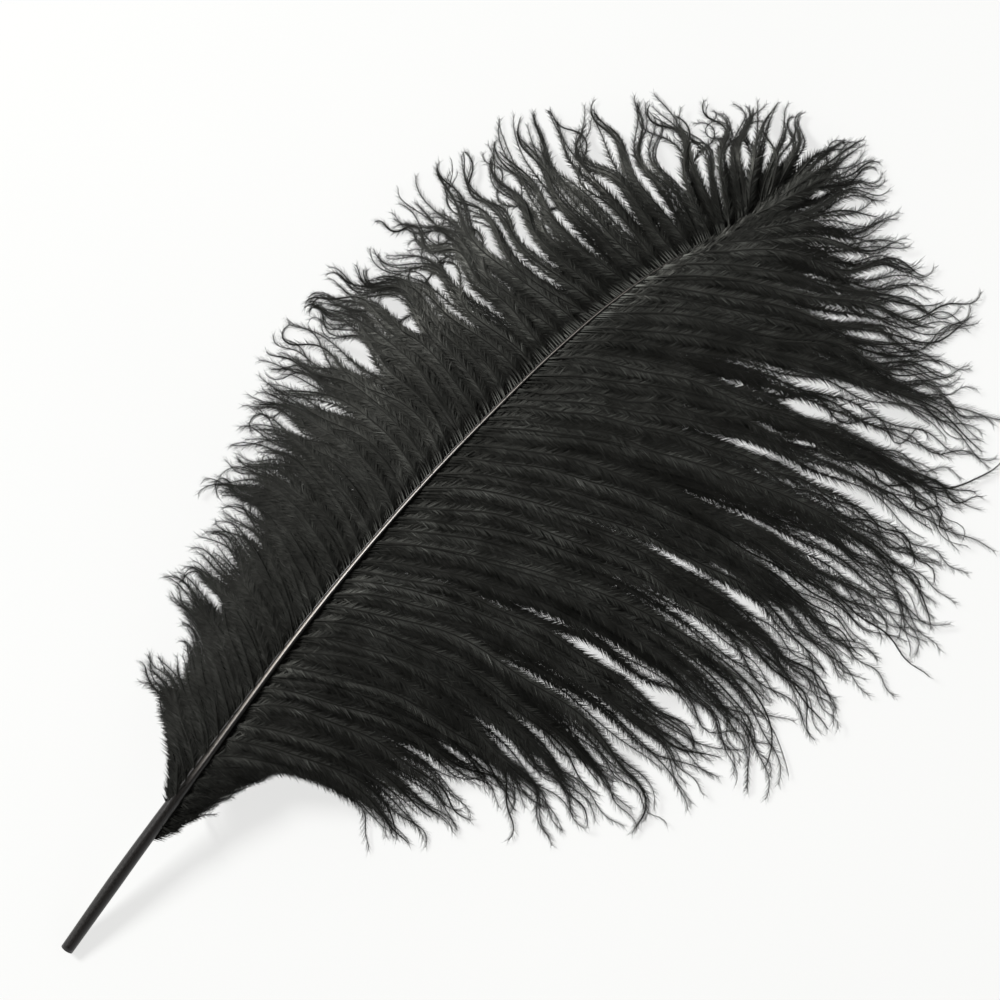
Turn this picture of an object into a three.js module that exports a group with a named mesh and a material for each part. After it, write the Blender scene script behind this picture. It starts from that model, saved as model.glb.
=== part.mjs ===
// A black ostrich plume lying on a flat surface: one shaft and two vanes of drooping locks.
// Millimetres, +Z up, +X from the cut quill to the tip, +Y towards the left vane.
import * as THREE from 'three';
import { mergeGeometries, mergeVertices } from 'three/addons/utils/BufferGeometryUtils.js';

// Driving dimensions

// The middle of the feather's footprint, measured from the cut end of the quill
const FOOTPRINT_CENTRE = { x: 236.4, y: -20.9 };

// Centre line of the shaft, from the cut quill to where the shaft ends inside the tip locks
const SHAFT_PATH = [
  [-2.5, -0.4, 2.55], [40, 7, 13], [80, 13.4, 22], [120, 19.8, 29], [160, 26, 34], [200, 30.7, 37],
  [240, 33.8, 38], [280, 35, 37], [320, 34.8, 33.5], [350, 32.8, 29], [375, 28.8, 24],
  [400, 21.5, 17.5], [432, 16, 8],
];
// Shaft radius at fractions of its length: a quill that swells a little, then a long taper
const SHAFT_RADII = [[0, 2.75], [0.08, 3.05], [0.16, 2.8], [0.3, 1.75], [0.5, 1.2], [0.75, 0.75], [1, 0.4]];
const SHAFT_RINGS = 24;
const SHAFT_SIDES = 10;
// Halvings of the shaft's length that find where it passes a given X
const SEARCH_STEPS = 30;
const QUILL_BORE = { radius: 1.9, depth: 14 };

// Each lock of barbs: where it leaves the shaft along X, its tip's X and Y, and its tip's heading in degrees
const LEFT_LOCKS = [
  [70, 93, 31, 40], [78, 100, 45, 85], [86, 105, 67, 92], [96, 117, 57, 115], [108, 132, 68, 105],
  [120, 134, 83, 113], [131, 152, 71, 95], [142, 142, 82, 152], [152, 166, 84, 98], [163, 176, 84, 125],
  [174, 183, 88, 140], [184, 173, 98, 172], [193, 182, 99, 165], [203, 198, 101, 140], [213, 200, 106, 165],
  [222, 210, 107, 172], [233, 216, 114, 92], [242, 223, 114, 155], [252, 243, 125, 60], [262, 254, 122, 150],
  [274, 256, 126, 185], [286, 277, 128, 130], [297, 282, 121, 60], [307, 293, 124, 80], [316, 302, 133, 150],
  [325, 315, 127, 100], [334, 335, 127, 10], [343, 347, 126, 45], [352, 356, 121, 70], [361, 379, 118, 15],
  [370, 381, 113, 40], [379, 393, 109, 60], [386, 405, 100, 15], [393, 415, 89, 55], [399, 424, 87, 60],
  [405, 436, 72, 55], [411, 441, 67, 75], [418, 459, 44, 10], [425, 464, 37, 10], [433, 470, 26, -12],
];
const RIGHT_LOCKS = [
  [54, 80, -2, -25], [70, 101, -5, -20], [89, 121, -14, -38], [92, 127, -46, -118],
  [100, 129, -68, -115], [109, 143, -81, -115], [117, 150, -83, -105], [126, 163, -82, -105],
  [135, 174, -93, -98], [143, 178, -98, -108], [150, 182, -113, -105], [157, 192, -116, -112],
  [164, 198, -124, -92],
  [172, 218, -140, -90], [181, 229, -138, -135], [190, 252, -140, -48], [199, 258, -147, -105],
  [208, 254, -160, -148], [217, 272, -155, -100], [226, 280, -166, -155], [235, 292, -153, -110],
  [244, 308, -155, -115], [253, 324, -162, -92], [262, 353, -175, -75], [271, 351, -158, -130],
  [280, 371, -150, -55], [289, 378, -150, -88], [298, 387, -151, -115], [307, 399, -138, -75],
  [317, 411, -132, -25], [328, 424, -125, -85], [340, 433, -110, -50], [352, 441, -84, -5],
  [364, 452, -80, -10], [376, 456, -68, -35], [388, 461, -40, 0], [401, 466, -21, -10],
  [414, 474, -1, -30], [428, 476, 14, -25],
];
// Heading in degrees at which a lock leaves the shaft, by where it leaves along X
const LEFT_LEAVING = [
  [60, 40], [150, 52], [250, 62], [300, 72], [330, 95], [345, 112], [360, 100], [375, 92], [390, 80],
  [400, 62], [433, 18],
];
const RIGHT_LEAVING = [[57, -20], [90, -42], [150, -47], [350, -45], [390, -35], [428, -12]];

// A lock's plan curve: reach of its two Bezier handles, as shares of root to tip
const ROOT_REACH = 0.42;
const TIP_REACH = 0.3;

// A lock is built in rows from the shaft to its tip; over the first rows the locks join to a whole vane
const LOCK_ROWS = 10;
const WHOLE_ROWS = 6;
// Width of a parted lock, as a share of its room between the locks beside it, at fractions of its length
const LOCK_SPREAD = [[0.6, 1], [0.7, 0.85], [0.8, 0.62], [0.9, 0.34], [1, 0]];
const WIDEST_LOCK = 20;
const LOCK_POINT = 0.6;
// Thickness of a lock along its sides and along its ridge, at fractions of its length
const LOCK_EDGE = [[0, 0.5], [0.6, 0.8], [1, 0.3]];
const LOCK_RIDGE = [[0, 1.3], [0.35, 2.6], [0.7, 2.4], [1, 0.7]];
// Strips of a lock's surface that are its two side walls, counted round its section
const FAR_WALL = 1;
const NEAR_WALL = 4;

// Locks crown above their fall from the shaft, land at this share of their length and lie level from there,
// with their tips at these heights in turn
const CROWN = 6;
const FALL_POWER = 1.4;
const LANDING = 0.8;
const TIP_HEIGHTS = [0, 2.4, 0, 3.6];
// Short locks near the quill stay up in the air: a lock falls by no more than this share of its reach
const STEEPEST_FALL = 0.5;

// Clearance between a vane and the shaft, and the distance within which corners of joined locks are one
const SEAM_GAP = 0.4;
const MERGE_DISTANCE = 0.001;

const DYED_BLACK = { barbs: 0x161615, quill: 0x1f1b18 };

// Small helpers

const degrees = THREE.MathUtils.degToRad;
const heading = (angle) => new THREE.Vector2(Math.cos(degrees(angle)), Math.sin(degrees(angle)));

// Straight-line reading of a list of [position, value] pairs
function read(pairs, at) {
  const next = pairs.findIndex(([position]) => position >= at);
  if (next === -1) return pairs.at(-1)[1];
  if (next === 0) return pairs[0][1];
  const [[a, low], [b, high]] = [pairs[next - 1], pairs[next]];
  return THREE.MathUtils.mapLinear(at, a, b, low, high);
}

// A surface through rings of equal point counts, capped at both ends, without the strips that are left open
function loft(rings, isOpen = () => false) {
  const sides = rings[0].length;
  const positions = rings.flat().flatMap((point) => point.toArray());
  const index = [];
  for (let ring = 0; ring < rings.length - 1; ring++) {
    for (let side = 0; side < sides; side++) {
      if (isOpen(ring, side)) continue;
      const a = ring * sides + side;
      const b = ring * sides + ((side + 1) % sides);
      index.push(a, b, b + sides, a, b + sides, a + sides);
    }
  }
  const last = (rings.length - 1) * sides;
  for (let side = 1; side < sides - 1; side++) {
    index.push(0, side + 1, side, last, last + side, last + side + 1);
  }
  const geometry = new THREE.BufferGeometry();
  geometry.setAttribute('position', new THREE.Float32BufferAttribute(positions, 3));
  geometry.setIndex(index);
  return geometry;
}

// The shaft

const shaftCurve = new THREE.CatmullRomCurve3(SHAFT_PATH.map((point) => new THREE.Vector3(...point)));
const shaftRadius = (share) => read(SHAFT_RADII, share);

// Share of the shaft's length at which it passes a given X
function shareAtX(x) {
  let [low, high] = [0, 1];
  for (let step = 0; step < SEARCH_STEPS; step++) {
    const middle = (low + high) / 2;
    if (shaftCurve.getPointAt(middle).x < x) low = middle;
    else high = middle;
  }
  return low;
}

function ringRound(share, radius, sunk = 0) {
  const along = shaftCurve.getTangentAt(share);
  const across = new THREE.Vector3(-along.y, along.x, 0).normalize();
  const up = along.clone().cross(across);
  const centre = shaftCurve.getPointAt(share).addScaledVector(along, sunk);
  return Array.from({ length: SHAFT_SIDES }, (_, side) => {
    const angle = (2 * Math.PI * side) / SHAFT_SIDES;
    return centre.clone()
      .addScaledVector(across, radius * Math.cos(angle))
      .addScaledVector(up, radius * Math.sin(angle));
  });
}

function shaftGeometry() {
  const bore = [
    ringRound(0, QUILL_BORE.radius, QUILL_BORE.depth),
    ringRound(0, QUILL_BORE.radius),
  ];
  const outside = Array.from({ length: SHAFT_RINGS + 1 }, (_, ring) => {
    const share = ring / SHAFT_RINGS;
    return ringRound(share, shaftRadius(share));
  });
  return loft([...bore, ...outside]);
}

// The vanes

// The plan of one lock: a curve from the side of the shaft to the lock's tip; side is +1 on the left
function lockPlan([rootX, tipX, tipY, tipHeading], side, leaving) {
  const share = shareAtX(rootX);
  const shaftPoint = shaftCurve.getPointAt(share);
  const root = new THREE.Vector2(shaftPoint.x, shaftPoint.y + side * (shaftRadius(share) + SEAM_GAP));
  const tip = new THREE.Vector2(tipX, tipY);
  const reach = root.distanceTo(tip);
  const curve = new THREE.CubicBezierCurve(
    root,
    heading(read(leaving, rootX)).multiplyScalar(ROOT_REACH * reach).add(root),
    heading(tipHeading).multiplyScalar(-TIP_REACH * reach).add(tip),
    tip,
  );
  return { curve, rootHeight: shaftPoint.z };
}

// Underside of a lock at a row: it crowns and falls from the shaft's height, then lies level to its tip
function lockPoint({ curve, rootHeight }, order, row) {
  const t = row / LOCK_ROWS;
  const { x, y } = curve.getPoint(t);
  const fallen = Math.min(1, t / LANDING);
  const lowest = rootHeight - STEEPEST_FALL * curve.v0.distanceTo(curve.v3);
  const tipHeight = Math.max(TIP_HEIGHTS[order % TIP_HEIGHTS.length], lowest);
  const fall = THREE.MathUtils.lerp(rootHeight, tipHeight, fallen ** FALL_POWER);
  return new THREE.Vector3(x, y, fall + CROWN * Math.sin(Math.PI * fallen) ** 2);
}

// The two sides of a lock at a row: halfway to its neighbours, or its own where the locks have parted
function lockSides(points, curve, order, row) {
  const here = points[order][row];
  const halfway = (other) => new THREE.Vector3().addVectors(here, other[row]).multiplyScalar(0.5);
  const mirrored = (point) => here.clone().multiplyScalar(2).sub(point).setZ(here.z);
  const [before, after] = [points[order - 1], points[order + 1]];
  const near = before ? halfway(before) : mirrored(halfway(after));
  const far = after ? halfway(after) : mirrored(halfway(before));
  if (row <= WHOLE_ROWS) return [near, far];
  const along = curve.getTangent(row / LOCK_ROWS);
  const room = Math.min(near.distanceTo(far), WIDEST_LOCK);
  const spread = read(LOCK_SPREAD, row / LOCK_ROWS) * room + LOCK_POINT;
  const across = new THREE.Vector3(along.y, -along.x, 0).multiplyScalar(spread / 2);
  if (across.dot(far.clone().sub(near)) < 0) across.negate();
  return [here.clone().sub(across), here.clone().add(across)];
}

// One lock: a ridged strip, open along its sides where it joins the locks beside it
function lockShell(points, plans, order) {
  const rows = points[order].map((here, row) => {
    const t = row / LOCK_ROWS;
    const [near, far] = lockSides(points, plans[order].curve, order, row);
    const raised = (point, height) => point.clone().setZ(point.z + height);
    const edge = read(LOCK_EDGE, t);
    return [near, far, raised(far, edge), raised(here, read(LOCK_RIDGE, t)), raised(near, edge)];
  });
  const joined = (row, side) => row < WHOLE_ROWS
    && ((side === FAR_WALL && order < plans.length - 1) || (side === NEAR_WALL && order > 0));
  return loft(rows, joined);
}

function vaneGeometry(locks, side, leaving) {
  const plans = locks.map((lock) => lockPlan(lock, side, leaving));
  const rows = Array.from({ length: LOCK_ROWS + 1 }, (_, row) => row);
  const points = plans.map((plan, order) => rows.map((row) => lockPoint(plan, order, row)));
  const shells = plans.map((_, order) => lockShell(points, plans, order));
  const vane = mergeVertices(mergeGeometries(shells), MERGE_DISTANCE);
  if (side > 0) vane.index.array.reverse();
  return vane;
}

// The feather

const barbs = new THREE.MeshStandardMaterial({ color: DYED_BLACK.barbs, roughness: 0.8, metalness: 0 });
const quill = new THREE.MeshStandardMaterial({ color: DYED_BLACK.quill, roughness: 0.4, metalness: 0 });

function piece(name, geometry, material) {
  geometry.computeVertexNormals();
  const mesh = new THREE.Mesh(geometry, material);
  mesh.name = name;
  return mesh;
}

const feather = new THREE.Group();
feather.add(
  piece('shaft', shaftGeometry(), quill),
  piece('left_vane', vaneGeometry(LEFT_LOCKS, 1, LEFT_LEAVING), barbs),
  piece('right_vane', vaneGeometry(RIGHT_LOCKS, -1, RIGHT_LEAVING), barbs),
);
feather.position.set(-FOOTPRINT_CENTRE.x, -FOOTPRINT_CENTRE.y, 0);

export default feather;
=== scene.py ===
import math
from collections import namedtuple

import bpy
import numpy as np
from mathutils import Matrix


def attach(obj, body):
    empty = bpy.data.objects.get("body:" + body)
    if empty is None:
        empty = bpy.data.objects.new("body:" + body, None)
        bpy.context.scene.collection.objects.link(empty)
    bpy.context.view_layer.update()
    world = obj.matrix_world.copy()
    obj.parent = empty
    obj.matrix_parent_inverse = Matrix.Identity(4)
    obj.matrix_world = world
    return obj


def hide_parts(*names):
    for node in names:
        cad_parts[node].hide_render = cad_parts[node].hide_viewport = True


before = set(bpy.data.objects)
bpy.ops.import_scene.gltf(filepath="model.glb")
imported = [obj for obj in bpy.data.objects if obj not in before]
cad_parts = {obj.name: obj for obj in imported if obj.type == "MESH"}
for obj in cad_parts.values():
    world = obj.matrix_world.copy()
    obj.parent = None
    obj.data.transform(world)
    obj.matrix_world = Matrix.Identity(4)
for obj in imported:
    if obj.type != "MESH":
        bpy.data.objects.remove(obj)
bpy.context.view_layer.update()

# A black ostrich plume lying on a pale surface. Shape values are in millimetres from the cut end
# of the quill, with +X towards the tip, +Y towards the left vane and +Z up.
MM = 0.001
FOOTPRINT_CENTRE = np.array([236.4, -20.9, 0.0])

# Centre line of the shaft, from the cut quill to where the shaft ends inside the tip locks
SHAFT_PATH = [
    (-2.5, -0.4, 2.55), (40, 7, 13), (80, 13.4, 22), (120, 19.8, 29), (160, 26, 34), (200, 30.7, 37),
    (240, 33.8, 38), (280, 35, 37), (320, 34.8, 33.5), (350, 32.8, 29), (375, 28.8, 24),
    (400, 21.5, 17.5), (432, 16, 8),
]
# Shaft radius at shares of its length: a quill that swells a little, then a long taper
SHAFT_RADII = [(0, 2.75), (0.08, 3.05), (0.16, 2.8), (0.3, 1.75), (0.5, 1.2), (0.75, 0.75), (1, 0.4)]

# Each lock of barbs: where it leaves the shaft along X, its tip's X and Y, and its tip's heading
# in degrees
LEFT_LOCKS = [
    (70, 93, 31, 40), (78, 100, 45, 85), (86, 105, 67, 92), (96, 117, 57, 115),
    (108, 132, 68, 105), (120, 134, 83, 113), (131, 152, 71, 95), (142, 142, 82, 152),
    (152, 166, 84, 98), (163, 176, 84, 125), (174, 183, 88, 140), (184, 173, 98, 172),
    (193, 182, 99, 165), (203, 198, 101, 140), (213, 200, 106, 165), (222, 210, 107, 172),
    (233, 216, 114, 92), (242, 223, 114, 155), (252, 243, 125, 60), (262, 254, 122, 150),
    (274, 256, 126, 185), (286, 277, 128, 130), (297, 282, 121, 60), (307, 293, 124, 80),
    (316, 302, 133, 150), (325, 315, 127, 100), (334, 335, 127, 10), (343, 347, 126, 45),
    (352, 356, 121, 70), (361, 379, 118, 15), (370, 381, 113, 40), (379, 393, 109, 60),
    (386, 405, 100, 15), (393, 415, 89, 55), (399, 424, 87, 60), (405, 436, 72, 55),
    (411, 441, 67, 75), (418, 459, 44, 10), (425, 464, 37, 10), (433, 470, 26, -12),
]
RIGHT_LOCKS = [
    (54, 80, -2, -25), (75, 110, -8, -21), (95, 123, -15, -30), (98, 127, -46, -118),
    (104, 129, -68, -115), (111, 143, -81, -115), (118, 150, -83, -105), (126, 163, -82, -105),
    (135, 174, -93, -98), (143, 178, -98, -108), (150, 182, -113, -105), (157, 192, -116, -112),
    (164, 198, -124, -92), (172, 218, -140, -90), (181, 229, -138, -135), (190, 252, -140, -48),
    (199, 258, -147, -105), (208, 254, -160, -148), (217, 272, -155, -100), (226, 280, -166, -155),
    (235, 292, -153, -110), (244, 308, -155, -115), (253, 324, -162, -92), (262, 353, -175, -75),
    (271, 351, -158, -130), (280, 371, -150, -55), (289, 378, -150, -88), (298, 387, -151, -115),
    (307, 399, -138, -75), (317, 411, -132, -25), (328, 424, -125, -85), (340, 433, -110, -50),
    (352, 441, -84, -5), (364, 452, -80, -10), (376, 456, -68, -35), (388, 461, -40, 0),
    (401, 466, -21, -10), (414, 474, -1, -30), (428, 476, 14, -25),
]
# Heading in degrees at which a lock leaves the shaft, by where it leaves along X
LEFT_LEAVING = [
    (60, 40), (150, 52), (250, 62), (300, 72), (330, 95), (345, 112), (360, 100), (375, 92), (390, 80),
    (400, 62), (433, 18),
]
RIGHT_LEAVING = [(57, -20), (90, -42), (150, -47), (350, -45), (390, -35), (428, -12)]

# Barbs start inside the shaft, beyond its axis by this share of its radius, those of the left vane
# above the axis and those of the right vane below it
ROOT_INSIDE = 0.2
ROOT_HEIGHT = 0.4
# A lock's plan curve: reach of its two Bezier handles, as shares of root to tip
ROOT_REACH = 0.42
TIP_REACH = 0.2
# Barbs crown above their fall from the shaft, land at this share of their lock's length and lie
# level from there, with their tips at these heights in turn from lock to lock
LEFT_CROWN = 6
RIGHT_CROWN = 3.5
FALL_POWER = 1.4
LANDING = 0.8
TIP_HEIGHTS = (0.8, 2.6, 1.0, 3.8)
# Short barbs stay up in the air: they fall by no more than this share of their reach
STEEPEST_FALL = 0.5

# Barbs stand this far apart at their roots, and closer where their ends would else be further apart
# than the second distance, but at most so many times as crowded; each uses a part of its room
ROOT_SPACING = 1.15
TIP_SPACING = 2.0
MOST_CROWDED = 2.5
ROOM_USED = 0.9
# One barb: its steps, the shares of its lock's length at which barbs end, and its stem
BARB_STEPS = 44
BARB_END = (0.76, 1.05)
RAMUS_RADIUS = [(0, 0.24), (0.2, 0.18), (0.6, 0.2), (0.8, 0.27), (1, 0.12)]
RAMUS_SIDES = 3
# How far a barb's height wanders, in how many waves, and where along its lock that sets in
LIFT = (-0.3, 0.4)
LIFT_WAVE = 0.4
LIFT_WAVES = (1, 3)
LIFT_SETS_IN = (0, 0.12)
# Centre lines of barbs and corners of barbules lie no lower than this above the surface
LOWEST_BARB = 0.4
LOWEST_BARBULE = 0.2
# Barbs overlap like shingles a few millimetres wide, each highest on the side of the feather's tip
MOST_SHINGLES = 200
SHINGLE_WIDTH = (5, 10)
SHINGLE_HEIGHT = 3.6
SHINGLE_MIDDLE = 0.5
SHINGLE_FADE = [(0, 0), (0.06, 1), (0.6, 1), (0.85, 0)]
# Painted light and shade: barbules low in a shingle are coloured darker, as shade, and those at its top
# lighter, as a lit edge
SHINGLE_PAINTED_LIGHT_AND_SHADE = [(0, 0.35), (0.5, 0.7), (0.8, 1.3), (1, 3)]
# Stems that lie higher in their shingle than this are thicker by the factor
TOP_OF_SHINGLE = 0.82
TOP_STEM = 1.8
# How clearly shingles show in height and in their painted light and shade, and how much rougher barbs
# are than near the tip, along X
LEFT_SHINGLED = [(70, 0.35), (200, 0.55), (280, 1)]
RIGHT_SHINGLED = [(54, 0.4), (140, 1)]
LEFT_DULL = [(70, 0.4), (200, 0.28), (280, 0)]
RIGHT_DULL = [(54, 0.3), (140, 0)]

# Barbules stand in two rows along a barb: length and width at shares of the barb's length, shorter
# on barbs under a length
BARBULE_SPACING = 0.3
FEWEST_FEET = 6
BARBULE_LENGTH = [(0, 3.0), (0.05, 5.0), (0.6, 6.2), (0.85, 6.0), (1, 4.0)]
BARBULE_LENGTH_VARIES = (0.7, 1.2)
BARBULE_WIDTH = [(0, 0.6), (0.62, 0.48), (0.8, 0.24), (1, 0.18)]
SHORT_BARB = 70
# Their angle to the barb, and how far they fold down, in degrees: on the barb's base side by where
# it leaves the shaft along X, on its tip side, and how much more near the shaft
BARBULE_ANGLE = [(0, 33), (0.6, 33), (0.85, 37), (1, 26)]
BARBULE_ANGLE_VARIES = 9
LEFT_BASE_FOLD = [(70, 18), (220, 15), (300, 8)]
RIGHT_BASE_FOLD = [(54, 12), (180, 8)]
TIP_SIDE_FOLD = 28
ROOT_FOLD = [(0, 45), (0.08, 0)]
FOLD_VARIES = 13
# How widely barbs are twisted about their length at the root, and further towards the end, in radians
ROOT_TWIST = 0.2
END_TWIST = 0.5
# Barbules clump in spikes of a few, more so in the fringe
CLUMP = [(0, 2.6), (0.55, 2.6), (0.8, 4)]
CLUMP_PULL = [(0, 0.5), (0.55, 0.5), (0.8, 0.65)]
# Shade of stems, painted dark as shade along each barb, how much paler they are next to the shaft, along
# X, and how far from it that ends
STEM_PAINTED_SHADE = 0.1
LEFT_COMB = [(80, 0), (140, 1.5), (250, 4), (320, 6)]
RIGHT_COMB = [(240, 0), (320, 5)]
COMB_LENGTH = 6
# Shade of the feet of barbules, painted darker as shade along the stem, and how widely the shade of
# their tips varies
FOOT_PAINTED_SHADE = 0.5
SHADE_VARIES = 0.6

# Broad downy barbules under each barb close the vane from the shaft to where the fringe starts
DOWN_SPACING = 0.9
DOWN_LENGTH = 7
DOWN_LENGTH_VARIES = (0.8, 1.1)
DOWN_WIDTH = 1.3
DOWN_ANGLE = 38
DOWN_FOLD = 20
DOWN_DROP = 0.7
DOWN_TAPER = [(0, 1), (0.65, 1), (1, 0.35)]
# Down is painted darker, as painted shade beneath the barbs
DOWN_PAINTED_SHADE = 0.3
# Share of a barb's length at which its down ends, along X
LEFT_DOWN = [(70, 0.78), (230, 0.7), (280, 0.56), (315, 0.26), (400, 0.22), (433, 0.45)]
RIGHT_DOWN = [(54, 0.5), (82, 0.6), (96, 0.78), (135, 0.82), (240, 0.76), (310, 0.64), (400, 0.52)]
DOWN_VARIES = 0.08
LEAST_DOWN = 0.1

# How barbs gather into tufts along their lock, how far tufts reach into each other, counted in locks,
# and how much a barb goes its own ways, less so in the phase of its sway
GATHER = [(0, 0), (0.68, 0.02), (0.8, 0.25), (0.9, 0.55), (1, 0.65)]
TUFT_SCATTER = 0.12
OWN_WAYS = 0.2
STEADY_PHASE = 6
# Barbs that stray from their tufts: how many, how firmly they are held and how far they stick out
STRAY_SHARE = 0.33
STRAY_HOLD = 0.2
STRAY_END = 1.1
# How barbs lean, sway and curl, in degrees, and the shares of their lock's length where that sets in
LEAN = 2
LEAN_SETS_IN = (0.08, 0.3)
FRINGE_LEAN = 8
FRINGE_LEAN_SETS_IN = (0.62, 0.9)
TUFT_LEAN = 2
TUFT_LEAN_SETS_IN = (0.68, 0.9)
SWAY = 4
FRINGE_SWAY = 18
FRINGE_SWAY_SETS_IN = (0.6, 0.9)
SWAY_LENGTH = (26, 52)
SWAY_SIZE = (0.4, 1.4)
CURL = 18
CURL_SETS_IN = (0.7, 1)
# Barbs shorter than this curl less
CURLY_BARB = 110
# How firmly tufts hold their barbs, from 0 to 1 along X, and how far apart tufts are, counted in locks
LEFT_HOLD = [(70, 0.3), (230, 0.45), (290, 1)]
RIGHT_HOLD = [(54, 0.3), (110, 0.8), (180, 1)]
LEFT_TUFTS = (0.35, 0.8)
RIGHT_TUFTS = (0.2, 0.42)
# Where the barbs stick together in narrow wavy strands, from 0 to 1 along X
LEFT_STRANDS = [(70, 0.1), (200, 0.25), (260, 0.6), (310, 1), (400, 1), (433, 0.7)]
RIGHT_STRANDS = [(60, 0), (200, 0.05), (280, 0.15), (350, 0.35), (428, 0.5)]
# How strands differ from other barbs: their gathering, strays, distances, sways, curls and barbules
STRAND_GATHER = [(0, 0), (0.2, 0.1), (0.4, 0.55), (0.62, 0.92), (1, 0.97)]
STRAND_SETS_IN = (0.25, 0.6)
STRAND_LEAN_SETS_IN = (0.5, 0.75)
STRAND_STRAYS = 0.2
STRAND_SPREAD = 0.15
STRAND_SWAY = 34
STRAND_CURL = 10
STRAND_ANGLE = 30
STRAND_LENGTH = 0.75
SEED = 7
# Share of its row in the UV map that a barb fills
ROW_FILLED = 0.95

# The shaft's surface: rings and sides, the hollow of the cut quill and the groove along the rachis
SHAFT_RINGS = 240
SHAFT_SIDES = 32
QUILL_BORE = 1.9
QUILL_BORE_DEPTH = 14
GROOVE_STARTS = [(70, 0), (100, 1)]
GROOVE_DEPTH = 0.3
GROOVE_WIDTH = 17
RIDGE_HEIGHT = 0.1
RIDGE_PLACE = 40

# Photograph: viewing direction from straight above, turned so that the quill points to the lower left
MM_PER_PIXEL = 0.42
PIXELS = 1000
QUILL_PIXEL = (71, 944)
TURN = math.radians(44.5)
CAMERA_DISTANCE = 2200
SENSOR = 36

# Colours of the dyed barbs, the horn, the pale streak along it with its painted highlight, and the
# floor, each dark and light
BARB_COLOURS = ((0.01, 0.0103, 0.0093), (0.026, 0.0267, 0.0243))
HORN_COLOURS = ((0.004, 0.0036, 0.0033), (0.013, 0.011, 0.0095))
PALE_STREAK_AND_HIGHLIGHT_COLOURS = ((0.35, 0.31, 0.27), (0.75, 0.69, 0.62))
FLOOR_COLOURS = ((0.21, 0.212, 0.208), (0.225, 0.227, 0.222))
BARB_ROUGHNESS = (0.42, 0.64)
HORN_ROUGHNESS = (0.28, 0.42)
# Values of a noise between which its low and high colours blend, and for the patches of the barbs
NOISE_RANGE = (0.3, 0.7)
PATCH_RANGE = (0.35, 0.65)
# The pale streak, paler horn with a painted highlight: its strength round the rachis, with the top at a
# quarter turn, and along it
HIGHLIGHT_STREAK_ROUND = [(0.19, 0.0), (0.228, 1.0), (0.272, 1.0), (0.31, 0.0)]
HIGHLIGHT_STREAK_ALONG = [(0.2, 0.0), (0.36, 1.0), (0.55, 0.8), (0.85, 0.25)]
# Scale of the horn's noise along the shaft and round it, which draws the noise out to fine streaks
FINE_STREAKS = (12, 1, 1)

# Brightness of the white tent by the sine of the height that it is seen at
TENT = [(0.0, 1.0), (0.5, 1.0), (0.8, 0.1)]
TENT_STRENGTH = 0.6
# The floor is lit through from below as well, so that shadows on it stay faint
FLOOR_GLOW = 0.722
FLOOR_SIZE = 6
# The soft light: its size and place in metres, its power in watts and its turn in degrees
LIGHT_SIZE = 1.2
LIGHT_POWER = 290
LIGHT_PLACE = (-0.6, 3.6, 2.85)
LIGHT_TURN = (-52, 0, 9.5)

# Sockets of a node that mixes colours
MIX_INPUTS = (0, 6, 7)
MIX_RESULT = 2

random = np.random.default_rng(SEED)


# Curves

def read(pairs, at):
    """Straight-line reading of (position, value) pairs."""
    position, value = zip(*pairs)
    return np.interp(at, position, value)


def smooth_read(position, value, at):
    """Cubic reading of values at positions, with slopes taken from their neighbours."""
    slope = np.gradient(value, position)
    i = np.clip(np.searchsorted(position, at) - 1, 0, len(position) - 2)
    width = position[i + 1] - position[i]
    s = (at - position[i]) / width
    return (
        (1 + 2 * s) * (1 - s) ** 2 * value[i] + s * (1 - s) ** 2 * width * slope[i]
        + s * s * (3 - 2 * s) * value[i + 1] + s * s * (s - 1) * width * slope[i + 1]
    )


def ease(start, end, at):
    """A smooth rise from 0 at start to 1 at end."""
    s = np.clip((at - start) / (end - start), 0, 1)
    return s * s * (3 - 2 * s)


def bump(place, width, at):
    return np.exp(-((at - place) / width) ** 2)


def unit(vectors):
    return vectors / np.maximum(np.linalg.norm(vectors, axis=-1, keepdims=True), 1e-9)


def headings(degrees):
    angle = np.radians(degrees)
    return np.stack([np.cos(angle), np.sin(angle)], axis=-1)


SHAFT_X, SHAFT_Y, SHAFT_Z = np.array(SHAFT_PATH, float).T


def shaft_points(x):
    x = np.asarray(x, float)
    return np.stack([x, smooth_read(SHAFT_X, SHAFT_Y, x), smooth_read(SHAFT_X, SHAFT_Z, x)], axis=-1)


def shaft_radius(x):
    return read(SHAFT_RADII, (np.asarray(x) - SHAFT_X[0]) / (SHAFT_X[-1] - SHAFT_X[0]))


def frame_along(path):
    """Directions along, across and square to a path at each of its points."""
    along = unit(np.gradient(path, axis=0))
    across = unit(np.stack([-along[:, 1], along[:, 0], np.zeros(len(along))], axis=-1))
    return along, across, np.cross(along, across)


# Meshes

def place(points):
    """Shape values to the part's frame in metres."""
    return (np.asarray(points) - FOOTPRINT_CENTRE) * MM


def tube_faces(rings, sides):
    """Triangles between rings of equal point counts."""
    ring = np.arange(rings - 1)[:, None] * sides
    a = (ring + np.arange(sides)).ravel()
    b = (ring + (np.arange(sides) + 1) % sides).ravel()
    return np.concatenate([
        np.stack([a, b, b + sides], axis=-1),
        np.stack([a, b + sides, a + sides], axis=-1),
    ])


def new_piece(name, points, faces, uvs, material, node, slot):
    """A mesh piece that stands for a node of the part."""
    mesh = bpy.data.meshes.new(name)
    mesh.from_pydata(place(points), [], faces)
    layer = mesh.uv_layers.new(name="OFBake")
    corner = np.empty(len(mesh.loops), np.int32)
    mesh.loops.foreach_get("vertex_index", corner)
    layer.data.foreach_set("uv", uvs[corner].astype(np.float32).ravel())
    mesh.materials.append(material)
    piece = bpy.data.objects.new(name, mesh)
    bpy.context.scene.collection.objects.link(piece)
    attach(piece, "root")
    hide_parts(node)
    return piece


# Barbs

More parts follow.
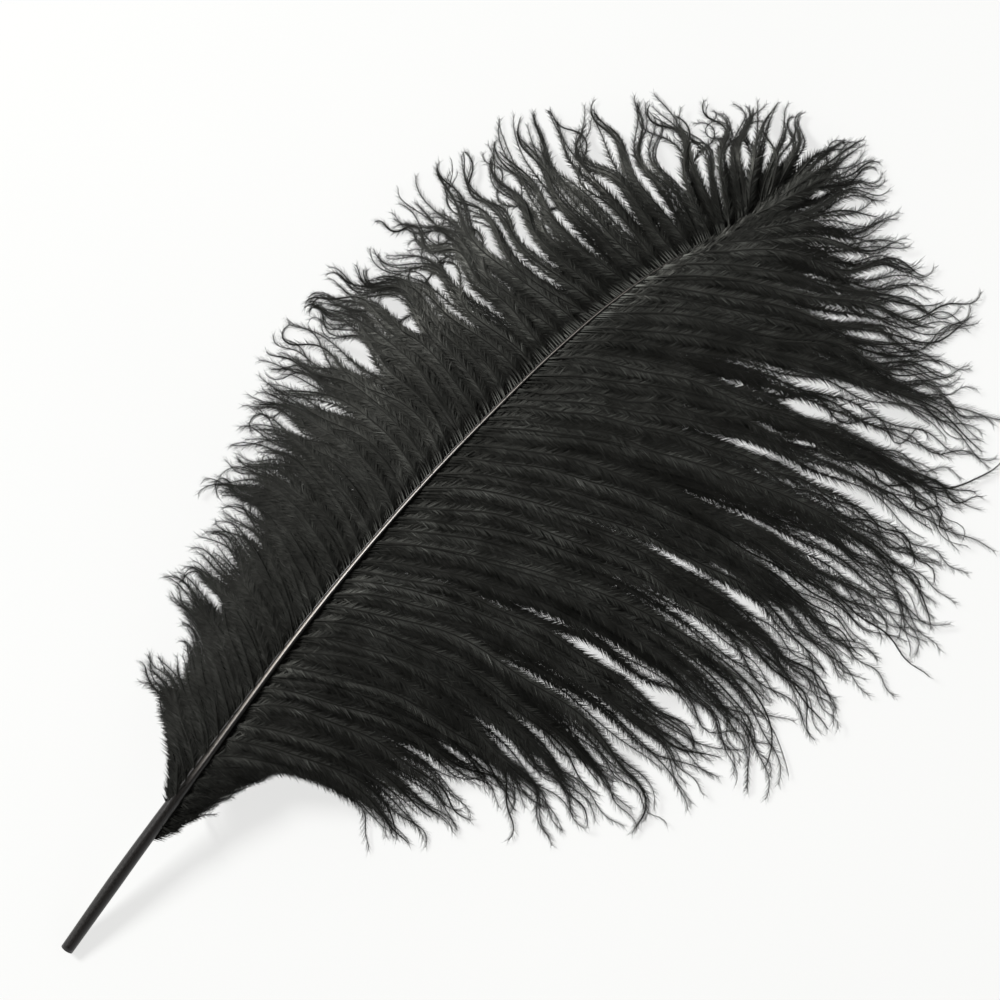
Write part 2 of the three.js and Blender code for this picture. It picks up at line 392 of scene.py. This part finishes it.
def lock_plans(locks, leaving, side):
    """Control points of each lock's plan curve, as an array of locks by four points by X and Y."""
    root_x, tip_x, tip_y, tip_heading = np.array(locks, float).T
    root = shaft_points(root_x)[:, :2]
    root[:, 1] -= side * ROOT_INSIDE * shaft_radius(root_x)
    tip = np.stack([tip_x, tip_y], axis=-1)
    reach = np.linalg.norm(tip - root, axis=-1, keepdims=True)
    leave = root + ROOT_REACH * reach * headings(read(leaving, root_x))
    arrive = tip - TIP_REACH * reach * headings(tip_heading)
    return np.stack([root, leave, arrive, tip], axis=1)


def blend(plans, where):
    """Plan curves at places counted in locks, between the locks on either side."""
    lower = np.clip(where.astype(int), 0, len(plans) - 2)
    share = (where - lower)[:, None, None]
    return plans[lower] * (1 - share) + plans[lower + 1] * share


def bezier(control, t):
    """Points of the control polygons (barbs, 4, 2) at the shares t (barbs, steps)."""
    t = t[..., None]
    p0, p1, p2, p3 = (control[:, k, None, :] for k in range(4))
    return (1 - t) ** 3 * p0 + 3 * (1 - t) ** 2 * t * p1 + 3 * (1 - t) * t * t * p2 + t ** 3 * p3


def bend(plan, angle):
    """Plan curves whose steps are each turned by an angle in radians."""
    step = np.diff(plan, axis=1)
    cos, sin = np.cos(angle), np.sin(angle)
    turned = np.stack([
        step[..., 0] * cos - step[..., 1] * sin,
        step[..., 0] * sin + step[..., 1] * cos,
    ], axis=-1)
    return np.concatenate([plan[:, :1], plan[:, :1] + np.cumsum(turned, axis=1)], axis=1)


def barb_bends(t, tuft, stray, strand, reach):
    """Angle that each step of each barb turns off its plan: leans, a sway and a curl of the end."""
    count, tufts = len(t), tuft.max() + 1
    middle = (t[:, 1:] + t[:, :-1]) / 2
    own = np.where(stray, 1, OWN_WAYS)
    stuck, free = strand[:, None], 1 - strand[:, None]
    lean = (random.normal(0, LEAN, count) * np.where(stray, 1, 1 - strand))[:, None]
    own_lean = (random.normal(0, FRINGE_LEAN, count) * (1 - strand))[:, None]
    size = random.uniform(*SWAY_SIZE, tufts)[tuft] + random.normal(0, own)
    sway = size[:, None] * (
        SWAY
        + STRAND_SWAY * stuck * ease(*STRAND_SETS_IN, middle)
        + FRINGE_SWAY * (ease(*FRINGE_SWAY_SETS_IN, middle) * free)
    )
    phase = random.random(tufts)[tuft] + random.normal(0, own / STEADY_PHASE)
    waves = reach / random.uniform(*SWAY_LENGTH, tufts)[tuft]
    curl = random.normal(0, 1, tufts)[tuft] + random.normal(0, own)
    curl = curl * (CURL + (STRAND_CURL - CURL) * strand) * np.minimum(1, reach / CURLY_BARB)
    tuft_lean = (random.normal(0, TUFT_LEAN, tufts)[tuft] * (1 + strand))[:, None]
    tuft_share = stuck * ease(*STRAND_LEAN_SETS_IN, middle) + free * ease(*TUFT_LEAN_SETS_IN, middle)
    angle = (
        lean * ease(*LEAN_SETS_IN, middle)
        + own_lean * ease(*FRINGE_LEAN_SETS_IN, middle)
        + tuft_lean * tuft_share
        + sway * np.sin(2 * math.pi * (waves[:, None] * middle + phase[:, None]))
        + curl[:, None] * ease(*CURL_SETS_IN, middle)
    )
    return np.radians(angle)


def shingles(roots):
    """How high each barb lies in its shingle, from 0 to 1."""
    edges = roots[0] + np.cumsum(random.uniform(*SHINGLE_WIDTH, MOST_SHINGLES))
    order = np.searchsorted(edges, roots)
    start = np.where(order > 0, edges[order - 1], roots[0])
    return (roots - start) / (edges[order] - start)


def barb_heights(t, roots, reach, between, shingle, vane):
    """Height of each barb at the shares t of its lock's length."""
    fallen = np.minimum(1, t / LANDING)
    radius = shaft_radius(roots)[:, None]
    start = shaft_points(roots)[:, 2:3] + vane.side * ROOT_HEIGHT * radius
    locks = np.arange(int(between.max()) + 2)
    at_lock = np.take(TIP_HEIGHTS, locks % len(TIP_HEIGHTS))
    lowest = start[:, 0] - STEEPEST_FALL * reach
    tip = np.maximum(np.interp(between, locks, at_lock), lowest)[:, None]
    height = start + (tip - start) * fallen ** FALL_POWER + vane.crown * np.sin(math.pi * fallen) ** 2
    each_barb = (len(t), 1)
    lift = random.uniform(*LIFT, each_barb)
    waves = random.uniform(*LIFT_WAVES, each_barb)
    phase = random.random(each_barb)
    wave = LIFT_WAVE * np.sin(2 * math.pi * (waves * t + phase))
    height = height + (lift + wave) * ease(*LIFT_SETS_IN, t)
    height = height + SHINGLE_HEIGHT * shingle[:, None] * read(SHINGLE_FADE, t)
    return np.maximum(height, LOWEST_BARB)


def barb_places(plans):
    """Places of the barbs, counted in locks, close enough at their roots and at their ends."""
    gap = np.linalg.norm(np.diff(plans, axis=0), axis=-1)
    for_roots, for_tips = gap[:, 0] / ROOT_SPACING, gap[:, 3] / TIP_SPACING
    needed = np.maximum(for_roots, np.minimum(for_tips, MOST_CROWDED * for_roots))
    filled = np.concatenate([[0], np.cumsum(needed)])
    count = int(filled[-1])
    at = np.arange(count) + random.uniform(0, ROOM_USED, count)
    return np.interp(at, filled, np.arange(len(filled)))


def tuft_places(root_x, vane):
    """Places of the tufts, counted in locks, at uneven distances that are wider between strands."""
    locks = np.arange(len(root_x))
    places = [0.0]
    while places[-1] < locks[-1]:
        strand = read(vane.strands, np.interp(places[-1], locks, root_x))
        places.append(places[-1] + random.uniform(*vane.tufts) * (1 + STRAND_SPREAD * strand))
    return np.array(places[1:-1])


def barb_paths(vane):
    """Centre lines of the barbs of one vane (barbs, steps, 3), how far each is in a strand, and how
    high it lies in its shingle."""
    root_x = np.array(vane.locks, float)[:, 0]
    plans = lock_plans(vane.locks, vane.leaving, vane.side)
    between = barb_places(plans)
    roots = np.interp(between, np.arange(len(root_x)), root_x)
    count = len(roots)
    strand = read(vane.strands, roots)
    tuft_at = tuft_places(root_x, vane)
    scattered = between[:, None] + random.normal(0, TUFT_SCATTER, (count, 1))
    tuft = np.abs(scattered - tuft_at).argmin(axis=1)
    stray = random.random(count) < STRAY_SHARE * (1 - strand) + STRAND_STRAYS * strand

    end = random.uniform(*BARB_END, count) * np.where(stray, random.uniform(1, STRAY_END, count), 1)
    t = np.linspace(0, 1, BARB_STEPS + 1) * end[:, None]
    spread = bezier(blend(plans, between), t)
    gathered = bezier(blend(plans, tuft_at[tuft]), t)
    hold = read(GATHER, t) + strand[:, None] * (read(STRAND_GATHER, t) - read(GATHER, t))
    hold = hold * (read(vane.hold, roots) * np.where(stray, STRAY_HOLD, 1))[:, None]
    plan = spread + hold[..., None] * (gathered - spread)
    reach = np.linalg.norm(plan[:, -1] - plan[:, 0], axis=-1)
    plan = bend(plan, barb_bends(t, tuft, stray, strand, reach))
    shingle = SHINGLE_MIDDLE + (shingles(roots) - SHINGLE_MIDDLE) * read(vane.shingled, roots)
    height = barb_heights(t, roots, reach, between, shingle, vane)
    return np.concatenate([plan, height[..., None]], axis=-1), strand, shingle


def ramus(path, row, shingle, comb):
    """The stem of one barb: a thin tube in painted shade, paler next to the shaft, with its UVs and
    shades.
    """
    along, across, upward = frame_along(path)
    t = np.linspace(0, 1, len(path))
    angle = 2 * math.pi * np.arange(RAMUS_SIDES) / RAMUS_SIDES
    ring = across[:, None, :] * np.cos(angle)[:, None] + upward[:, None, :] * np.sin(angle)[:, None]
    radius = read(RAMUS_RADIUS, t) * (TOP_STEM if shingle > TOP_OF_SHINGLE else 1)
    points = path[:, None, :] + radius[:, None, None] * ring
    uvs = np.stack([np.repeat(t, RAMUS_SIDES), np.full(len(t) * RAMUS_SIDES, sum(row) / 2)], axis=-1)
    from_shaft = np.linalg.norm(path - path[0], axis=-1)
    # Stems are painted dark as shade along the barb; the paler comb next to the shaft is their own
    # colour
    shade = STEM_PAINTED_SHADE + read(comb, path[0, 0]) * (1 - ease(COMB_LENGTH / 2, COMB_LENGTH, from_shaft))
    return points.reshape(-1, 3), tube_faces(len(path), RAMUS_SIDES), uvs, np.repeat(shade, RAMUS_SIDES)


def barbule_feet(path, spacing):
    """Evenly spaced points along one barb, with their shares of its length, and its length."""
    step = np.linalg.norm(np.diff(path, axis=0), axis=-1)
    distance = np.concatenate([[0], np.cumsum(step)])
    count = max(FEWEST_FEET, int(distance[-1] / spacing))
    at = np.linspace(0, distance[-1], count)
    foot = np.stack([np.interp(at, distance, path[:, k]) for k in range(3)], axis=-1)
    return foot, at / distance[-1], distance[-1]


def clumped(tips, t):
    """Tips of barbules drawn together in small clumps."""
    clump = np.cumsum(random.random(len(tips)) < 1 / read(CLUMP, t))
    size = np.maximum(np.bincount(clump), 1)[:, None]
    middle = np.stack([np.bincount(clump, tips[:, k]) for k in range(3)], axis=-1) / size
    return tips + read(CLUMP_PULL, t)[:, None] * (middle[clump] - tips)


def barbule_corners(foot, base, tips):
    """Corners of narrow triangles from feet to tips, none of them below the surface."""
    corners = np.stack([foot - base, foot + base, tips], axis=1).reshape(-1, 3)
    corners[:, 2] = np.maximum(corners[:, 2], LOWEST_BARBULE)
    return corners


def barbules(path, row, strand, shingle, tip_side, base_fold):
    """The two rows of barbules of one barb: narrow triangles that stand on the stem."""
    foot, t, barb_length = barbule_feet(path, BARBULE_SPACING)
    along, across, upward = frame_along(foot)
    twist = (random.normal(0, ROOT_TWIST) + random.normal(0, END_TWIST) * t)[:, None]
    across, upward = (
        across * np.cos(twist) + upward * np.sin(twist),
        upward * np.cos(twist) - across * np.sin(twist),
    )
    count = len(foot)
    stuck = strand * ease(*STRAND_SETS_IN, t)
    longest = read(BARBULE_LENGTH, t) * min(1, barb_length / SHORT_BARB)
    longest = longest * (1 + stuck * (STRAND_LENGTH - 1))
    free_angle = read(BARBULE_ANGLE, t)
    widest = free_angle + stuck * (STRAND_ANGLE - free_angle)
    half_base = along * read(BARBULE_WIDTH, t)[:, None] / 2
    points, uvs, shades = [], [], []
    for side in (1, -1):
        length = (longest * random.uniform(*BARBULE_LENGTH_VARIES, count))[:, None]
        angle = np.radians(widest + random.normal(0, BARBULE_ANGLE_VARIES, count))[:, None]
        side_fold = TIP_SIDE_FOLD if side == tip_side else read(base_fold, path[0, 0])
        fold = side_fold + read(ROOT_FOLD, t) + random.normal(0, FOLD_VARIES, count)
        fold = np.radians(fold)[:, None]
        outward = side * across * np.cos(fold) - upward * np.sin(fold)
        tips = clumped(foot + length * (along * np.cos(angle) + outward * np.sin(angle)), t)
        points.append(barbule_corners(foot, side * half_base, tips))
        v = np.broadcast_to([sum(row) / 2, sum(row) / 2, row[side > 0]], (count, 3))
        uvs.append(np.stack([np.repeat(t, 3), v.ravel()], axis=-1))
        # Feet of barbules are painted darker, as shade along the stem
        shade = np.full((count, 3), FOOT_PAINTED_SHADE)
        shade[:, 2] = random.lognormal(0, SHADE_VARIES, count)
        # Painted light and shade: barbules lighter at the top of their shingle and darker lower in it
        shades.append(shade.ravel() * read(SHINGLE_PAINTED_LIGHT_AND_SHADE, shingle))
    points = np.concatenate(points)
    return points, np.arange(len(points)).reshape(-1, 3), np.concatenate(uvs), np.concatenate(shades)


def down(path, row, ends):
    """Broad barbules that hang below one barb on both sides of it, darker as painted shade."""
    foot, t, _ = barbule_feet(path, DOWN_SPACING)
    along, across, upward = frame_along(foot)
    foot = foot - DOWN_DROP * upward
    end = max(LEAST_DOWN, read(ends, path[0, 0]) + random.normal(0, DOWN_VARIES))
    foot, along, across, upward = (values[t < end] for values in (foot, along, across, upward))
    t = t[t < end]
    size = read(DOWN_TAPER, t / end)[:, None]
    count = len(foot)
    angle = math.radians(DOWN_ANGLE)
    points = []
    for side in (1, -1):
        fold = np.radians(DOWN_FOLD + random.normal(0, FOLD_VARIES, count))[:, None]
        length = DOWN_LENGTH * size * random.uniform(*DOWN_LENGTH_VARIES, (count, 1))
        outward = side * across * np.cos(fold) - upward * np.sin(fold)
        tips = foot + length * (along * math.cos(angle) + outward * math.sin(angle))
        points.append(barbule_corners(foot, side * along * size * DOWN_WIDTH / 2, tips))
    points = np.concatenate(points)
    uvs = np.stack([np.tile(np.repeat(t, 3), 2), np.full(len(points), sum(row) / 2)], axis=-1)
    return points, np.arange(len(points)).reshape(-1, 3), uvs, np.full(len(points), DOWN_PAINTED_SHADE)


def vane_piece(name, barbs, vane, material):
    """A run of barbs as one mesh that stands for a vane."""
    points, faces, uvs, shades, dull = [], [], [], [], []
    first = 0
    for order, (path, strand, shingle) in enumerate(barbs):
        row = (order / len(barbs), (order + ROW_FILLED) / len(barbs))
        parts = (
            ramus(path, row, shingle, vane.comb),
            barbules(path, row, strand, shingle, -vane.side, vane.base_fold),
            down(path, row, vane.down),
        )
        for part in parts:
            points.append(part[0])
            faces.append(part[1] + first)
            uvs.append(part[2])
            shades.append(part[3])
            dull.append(np.full(len(part[0]), read(vane.dull, path[0, 0])))
            first += len(part[0])
    piece = new_piece(name, *map(np.concatenate, (points, faces, uvs)), material, vane.node, "barbs")
    for look, values in (("shade", shades), ("dull", dull)):
        layer = piece.data.attributes.new(look, "FLOAT", "POINT")
        layer.data.foreach_set("value", np.concatenate(values).astype(np.float32))


# Shaft

def shaft_piece(material):
    """The quill and rachis: a tapering tube with a hollow cut end and a groove along its top."""
    x = np.linspace(SHAFT_X[0], SHAFT_X[-1], SHAFT_RINGS)
    path = shaft_points(x)
    along, across, upward = frame_along(path)
    angle = 2 * math.pi * np.arange(SHAFT_SIDES) / SHAFT_SIDES
    from_top = np.degrees(angle - math.pi / 2)
    ridges = RIDGE_HEIGHT * bump(RIDGE_PLACE, GROOVE_WIDTH, abs(from_top))
    groove = ridges - GROOVE_DEPTH * bump(0, GROOVE_WIDTH, from_top)
    radius = shaft_radius(x)[:, None] * (1 + read(GROOVE_STARTS, x)[:, None] * groove)
    ring = across[:, None, :] * np.cos(angle)[:, None] + upward[:, None, :] * np.sin(angle)[:, None]
    outside = path[:, None, :] + radius[..., None] * ring
    outside[..., 2] = np.maximum(outside[..., 2], 0)
    mouth = path[0] + QUILL_BORE * ring[0]
    bottom = mouth + QUILL_BORE_DEPTH * along[0]
    points = np.concatenate([bottom[None], mouth[None], outside])
    share = np.concatenate([[0, 0], np.linspace(0, 1, SHAFT_RINGS)])
    uvs = np.stack(np.broadcast_arrays(share[:, None], angle / (2 * math.pi)), axis=-1)
    faces = tube_faces(len(points), SHAFT_SIDES).tolist()
    faces.append(list(range(SHAFT_SIDES))[::-1])
    last = (len(points) - 1) * SHAFT_SIDES
    faces.append([last + side for side in range(SHAFT_SIDES)])
    piece = new_piece(
        "quill_and_rachis", points.reshape(-1, 3), faces, uvs.reshape(-1, 2), material, "shaft", "quill")
    piece.data.polygons.foreach_set("use_smooth", np.ones(len(piece.data.polygons), bool))


# Materials

def node_material(name):
    material = bpy.data.materials.new(name)
    material.use_nodes = True
    tree = material.node_tree
    return material, tree, tree.nodes["Principled BSDF"]


def add_noise(tree, vector, scale, detail=3):
    noise = tree.nodes.new("ShaderNodeTexNoise")
    noise.inputs["Scale"].default_value = scale
    noise.inputs["Detail"].default_value = detail
    tree.links.new(vector, noise.inputs["Vector"])
    return noise.outputs["Fac"]


def add_ramp(tree, factor, stops):
    """A colour ramp through (position, colour) stops, where a colour may be one grey value."""
    node = tree.nodes.new("ShaderNodeValToRGB")
    elements = node.color_ramp.elements
    for _ in stops[2:]:
        elements.new(1.0)
    for element, (position, colour) in zip(elements, stops):
        element.position = position
        element.color = (*np.broadcast_to(colour, 3), 1)
    tree.links.new(factor, node.inputs["Fac"])
    return node.outputs["Color"]


def add_range(tree, noise, low_and_high, between=NOISE_RANGE):
    """A low and a high value or colour, blended by a noise."""
    return add_ramp(tree, noise, list(zip(between, low_and_high)))


def add_mix(tree, factor, low, high, kind="MIX"):
    mix = tree.nodes.new("ShaderNodeMix")
    mix.data_type = "RGBA"
    mix.blend_type = kind
    for socket, value in zip(MIX_INPUTS, (factor, low, high)):
        if isinstance(value, float):
            mix.inputs[socket].default_value = value
        else:
            tree.links.new(value, mix.inputs[socket])
    return mix.outputs[MIX_RESULT]


def add_attribute(tree, name):
    """A value that each point of a mesh has of its own."""
    node = tree.nodes.new("ShaderNodeAttribute")
    node.attribute_name = name
    return node.outputs["Vector"]


def barb_material():
    """Dyed black: patchy, with a shade for each stem and barbule that holds painted light and shade,
    dull in places.
    """
    material, tree, shader = node_material("black_barbs")
    shader.inputs["Specular IOR Level"].default_value = 0.3
    shader.inputs["Specular Tint"].default_value = (1.0, 1.0, 0.9, 1.0)
    position = tree.nodes.new("ShaderNodeTexCoord")
    patches = add_noise(tree, position.outputs["Object"], scale=70, detail=4)
    dyed = add_range(tree, patches, BARB_COLOURS, PATCH_RANGE)
    dyed = add_mix(tree, 1.0, dyed, add_attribute(tree, "shade"), "MULTIPLY")
    tree.links.new(dyed, shader.inputs["Base Color"])
    rough = add_range(tree, add_noise(tree, position.outputs["Object"], scale=400), BARB_ROUGHNESS)
    rough = add_mix(tree, 1.0, rough, add_attribute(tree, "dull"), "ADD")
    tree.links.new(rough, shader.inputs["Roughness"])
    return material


def quill_material():
    """Brown-black horn with fine streaks, and a pale streak along the top of the rachis: paler horn with
    a painted highlight.
    """
    material, tree, shader = node_material("black_quill")
    position = tree.nodes.new("ShaderNodeTexCoord")
    split = tree.nodes.new("ShaderNodeSeparateXYZ")
    tree.links.new(position.outputs["UV"], split.inputs["Vector"])
    stretch = tree.nodes.new("ShaderNodeMapping")
    stretch.inputs["Scale"].default_value = FINE_STREAKS
    tree.links.new(position.outputs["UV"], stretch.inputs["Vector"])
    streaks = add_noise(tree, stretch.outputs["Vector"], scale=30, detail=5)
    horn = add_range(tree, streaks, HORN_COLOURS)
    pale = add_range(tree, streaks, PALE_STREAK_AND_HIGHLIGHT_COLOURS)
    on_top = add_ramp(tree, split.outputs["Y"], HIGHLIGHT_STREAK_ROUND)
    by_length = add_ramp(tree, split.outputs["X"], HIGHLIGHT_STREAK_ALONG)
    streak = add_mix(tree, 1.0, on_top, by_length, "MULTIPLY")
    # The streak is partly paler horn and partly a painted highlight
    tree.links.new(add_mix(tree, streak, horn, pale), shader.inputs["Base Color"])
    tree.links.new(add_range(tree, streaks, HORN_ROUGHNESS), shader.inputs["Roughness"])
    return material


def floor_material():
    """A matte pale surface with faint patches, lit through from below."""
    material, tree, shader = node_material("pale_floor")
    shader.inputs["Roughness"].default_value = 0.9
    shader.inputs["Specular IOR Level"].default_value = 0.1
    position = tree.nodes.new("ShaderNodeTexCoord")
    colour = add_range(tree, add_noise(tree, position.outputs["Object"], scale=3), FLOOR_COLOURS)
    shader.inputs["Emission Color"].default_value = (1, 1, 0.99, 1)
    shader.inputs["Emission Strength"].default_value = FLOOR_GLOW
    tree.links.new(colour, shader.inputs["Base Color"])
    return material


# Stage

def image_point(column, row):
    """Where on the surface a pixel of the photograph lies, from the quill's cut end."""
    right, up = column - QUILL_PIXEL[0], QUILL_PIXEL[1] - row
    return np.array([
        (right * math.cos(TURN) + up * math.sin(TURN)) * MM_PER_PIXEL,
        (up * math.cos(TURN) - right * math.sin(TURN)) * MM_PER_PIXEL,
        0.0,
    ])


def add_floor():
    bpy.ops.mesh.primitive_plane_add(size=FLOOR_SIZE)
    floor = bpy.context.object
    floor.name = "floor"
    floor.data.materials.append(floor_material())


def add_camera():
    data = bpy.data.cameras.new("camera")
    data.sensor_width = SENSOR
    data.lens = SENSOR * CAMERA_DISTANCE / (PIXELS * MM_PER_PIXEL)
    camera = bpy.data.objects.new("camera", data)
    camera.location = place(image_point(PIXELS / 2, PIXELS / 2) + np.array([0, 0, CAMERA_DISTANCE]))
    camera.rotation_euler = (0, 0, -TURN)
    bpy.context.scene.collection.objects.link(camera)
    bpy.context.scene.camera = camera


def add_light():
    """A soft light from the left of the feather, low enough to throw a faint shadow."""
    data = bpy.data.lights.new("window", "AREA")
    data.shape = "DISK"
    data.size = LIGHT_SIZE
    data.energy = LIGHT_POWER
    light = bpy.data.objects.new("window", data)
    light.location = LIGHT_PLACE
    light.rotation_euler = np.radians(LIGHT_TURN)
    bpy.context.scene.collection.objects.link(light)


def add_world():
    """A white tent all round, dark above the camera, so that black surfaces stay black from above."""
    world = bpy.data.worlds.new("tent")
    world.use_nodes = True
    tree = world.node_tree
    direction = tree.nodes.new("ShaderNodeTexCoord")
    split = tree.nodes.new("ShaderNodeSeparateXYZ")
    tree.links.new(direction.outputs["Generated"], split.inputs["Vector"])
    tent = add_ramp(tree, split.outputs["Z"], TENT)
    tree.links.new(tent, tree.nodes["Background"].inputs["Color"])
    tree.nodes["Background"].inputs["Strength"].default_value = TENT_STRENGTH
    bpy.context.scene.world = world
    bpy.context.scene.view_settings.view_transform = "Standard"


# Build

# A vane: its node, its side (+1 is the left), how many pieces it is made in, and its values above
Vane = namedtuple(
    "Vane", "node side runs crown locks leaving strands hold tufts down comb base_fold shingled dull")
LEFT_VANE = Vane(
    node="left_vane", side=1, runs=2, crown=LEFT_CROWN, locks=LEFT_LOCKS, leaving=LEFT_LEAVING,
    strands=LEFT_STRANDS, hold=LEFT_HOLD, tufts=LEFT_TUFTS, down=LEFT_DOWN, comb=LEFT_COMB,
    base_fold=LEFT_BASE_FOLD, shingled=LEFT_SHINGLED, dull=LEFT_DULL)
RIGHT_VANE = Vane(
    node="right_vane", side=-1, runs=4, crown=RIGHT_CROWN, locks=RIGHT_LOCKS, leaving=RIGHT_LEAVING,
    strands=RIGHT_STRANDS, hold=RIGHT_HOLD, tufts=RIGHT_TUFTS, down=RIGHT_DOWN, comb=RIGHT_COMB,
    base_fold=RIGHT_BASE_FOLD, shingled=RIGHT_SHINGLED, dull=RIGHT_DULL)
barb_look = barb_material()
for vane in (LEFT_VANE, RIGHT_VANE):
    barbs = list(zip(*barb_paths(vane)))
    for number, run in enumerate(np.array_split(np.arange(len(barbs)), vane.runs), start=1):
        vane_piece(f"{vane.node}_barbs_{number}", barbs[run[0]:run[-1] + 1], vane, barb_look)
shaft_piece(quill_material())
add_floor()
add_camera()
add_light()
add_world()
